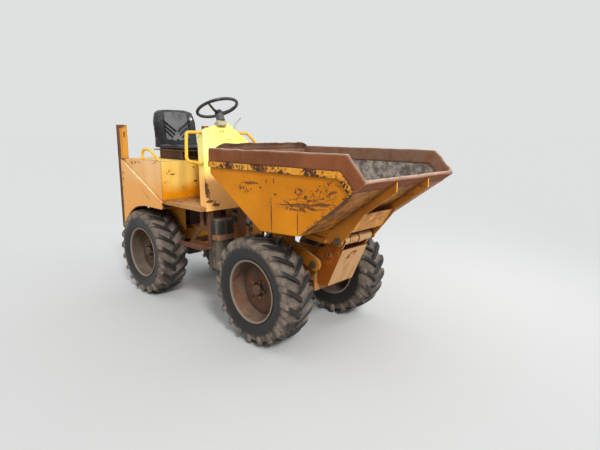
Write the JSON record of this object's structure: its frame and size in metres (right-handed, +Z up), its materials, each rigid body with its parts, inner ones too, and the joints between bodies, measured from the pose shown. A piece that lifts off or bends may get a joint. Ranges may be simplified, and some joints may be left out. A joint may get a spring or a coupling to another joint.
{
  "type": "articulated site dumper",
  "caption": "Small articulated site dumper with a front-tipping skip, open driver's seat over the rear engine and four lugged tyres.",
  "frame": {"origin": "on the ground, under the middle of the machine's box", "axes": "+X forward towards the skip's lip, +Y to the driver's left, +Z up"},
  "size_m": [2.741, 1.078, 1.6813],
  "materials": {
    "paint": "faded orange-yellow paint with chips and rust",
    "rusty_steel": "red-brown rust",
    "chassis_paint": "dirty orange paint",
    "rims": "brown rust and mud",
    "rubber": "dusty rubber",
    "cast_iron": "oily casting",
    "pin_steel": "worn steel",
    "rod_chrome": "polished",
    "black_plastic": "worn black",
    "vinyl": "black vinyl",
    "tank_paint": "dusty dark grey"
  },
  "bodies": {
    "rear_frame": {"rear_chassis": "chassis_paint", "king_pin": "pin_steel", "rear_axle": "cast_iron", "engine": "cast_iron", "wheel_wells": "paint", "body_sides": "paint", "fenders": "paint", "seat_box_front": "paint", "rear_grille": "rusty_steel", "rollbar_uprights": "rusty_steel", "rollbar_sockets": "paint", "top_shelves": "paint", "grab_handles": "paint", "floor_plate": "paint", "steps": "rusty_steel", "cowl": "paint", "cowl_handles": "paint", "binnacle": "black_plastic", "steering_column": "black_plastic", "tank": "tank_paint", "tank_strap": "rusty_steel"},
    "cover": {"engine_cover": "paint", "seat_base": "black_plastic", "seat_cushion": "vinyl", "seat_back": "vinyl"},
    "steering_wheel": {"steering_wheel": "black_plastic"},
    "pivot": {"pivot_yoke": "chassis_paint"},
    "front_frame": {"front_chassis": "chassis_paint", "front_axle": "cast_iron", "chassis_arms": "paint", "nose_pins": "pin_steel", "front_tower": "paint", "hinge_pin": "pin_steel", "ram_base_pin": "pin_steel"},
    "skip": {"skip_tub": "paint", "skip_extension": "rusty_steel", "skip_band": "paint", "skip_gussets": "paint", "skip_ram_ears": "paint"},
    "ram_barrel": {"ram_barrel": "chassis_paint"},
    "ram_rod": {"ram_rod": "rod_chrome"},
    "wheel_front_left": {"tyre_front_left": "rubber", "rim_front_left": "rims"},
    "wheel_front_right": {"tyre_front_right": "rubber", "rim_front_right": "rims"},
    "wheel_rear_left": {"tyre_rear_left": "rubber", "rim_rear_left": "rims"},
    "wheel_rear_right": {"tyre_rear_right": "rubber", "rim_rear_right": "rims"}
  },
  "joints": [
    {"name": "steer", "type": "hinge", "parent": "rear_frame", "child": "pivot", "pos_m": [-0.2385, 0, 0.48], "axis": [0, 0, 1], "range_deg": [-30, 30]},
    {"name": "frame_roll", "type": "hinge", "parent": "pivot", "child": "front_frame", "pos_m": [-0.2385, 0, 0.48], "axis": [1, 0, 0], "range_deg": [-8, 8]},
    {"name": "skip_tip", "type": "hinge", "parent": "front_frame", "child": "skip", "pos_m": [0.9475, 0, 0.735], "axis": [0, 1, 0], "range_deg": [0, 62]},
    {"name": "ram_swing", "type": "hinge", "parent": "front_frame", "child": "ram_barrel", "pos_m": [0.6255, 0, 0.44], "axis": [0, 1, 0], "range_deg": [-6, 6]},
    {"name": "ram_stroke", "type": "slide", "parent": "ram_barrel", "child": "ram_rod", "axis": [0.4706, 0, 0.8824], "range_m": [0, 0.2]},
    {"name": "cover_lift", "type": "hinge", "parent": "rear_frame", "child": "cover", "pos_m": [-1.3145, 0, 1.167], "axis": [0, -1, 0], "range_deg": [0, 50]},
    {"name": "steering_wheel_spin", "type": "hinge", "parent": "rear_frame", "child": "steering_wheel", "pos_m": [-0.5145, 0, 1.6], "axis": [-0.4067, 0, 0.9135], "continuous": true},
    {"name": "wheel_spin_front_left", "type": "hinge", "parent": "front_frame", "child": "wheel_front_left", "pos_m": [0.4855, 0.407, 0.37195], "axis": [0, 1, 0], "continuous": true},
    {"name": "wheel_spin_front_right", "type": "hinge", "parent": "front_frame", "child": "wheel_front_right", "pos_m": [0.4855, -0.407, 0.37195], "axis": [0, 1, 0], "continuous": true},
    {"name": "wheel_spin_rear_left", "type": "hinge", "parent": "rear_frame", "child": "wheel_rear_left", "pos_m": [-0.9625, 0.407, 0.37195], "axis": [0, 1, 0], "continuous": true},
    {"name": "wheel_spin_rear_right", "type": "hinge", "parent": "rear_frame", "child": "wheel_rear_right", "pos_m": [-0.9625, -0.407, 0.37195], "axis": [0, 1, 0], "continuous": true}
  ],
  "couplings": [
    {"joint": "ram_swing", "follows": "skip_tip", "ratio": 0.024934},
    {"joint": "ram_stroke", "follows": "skip_tip", "m_per_rad": 0.15394}
  ]
}
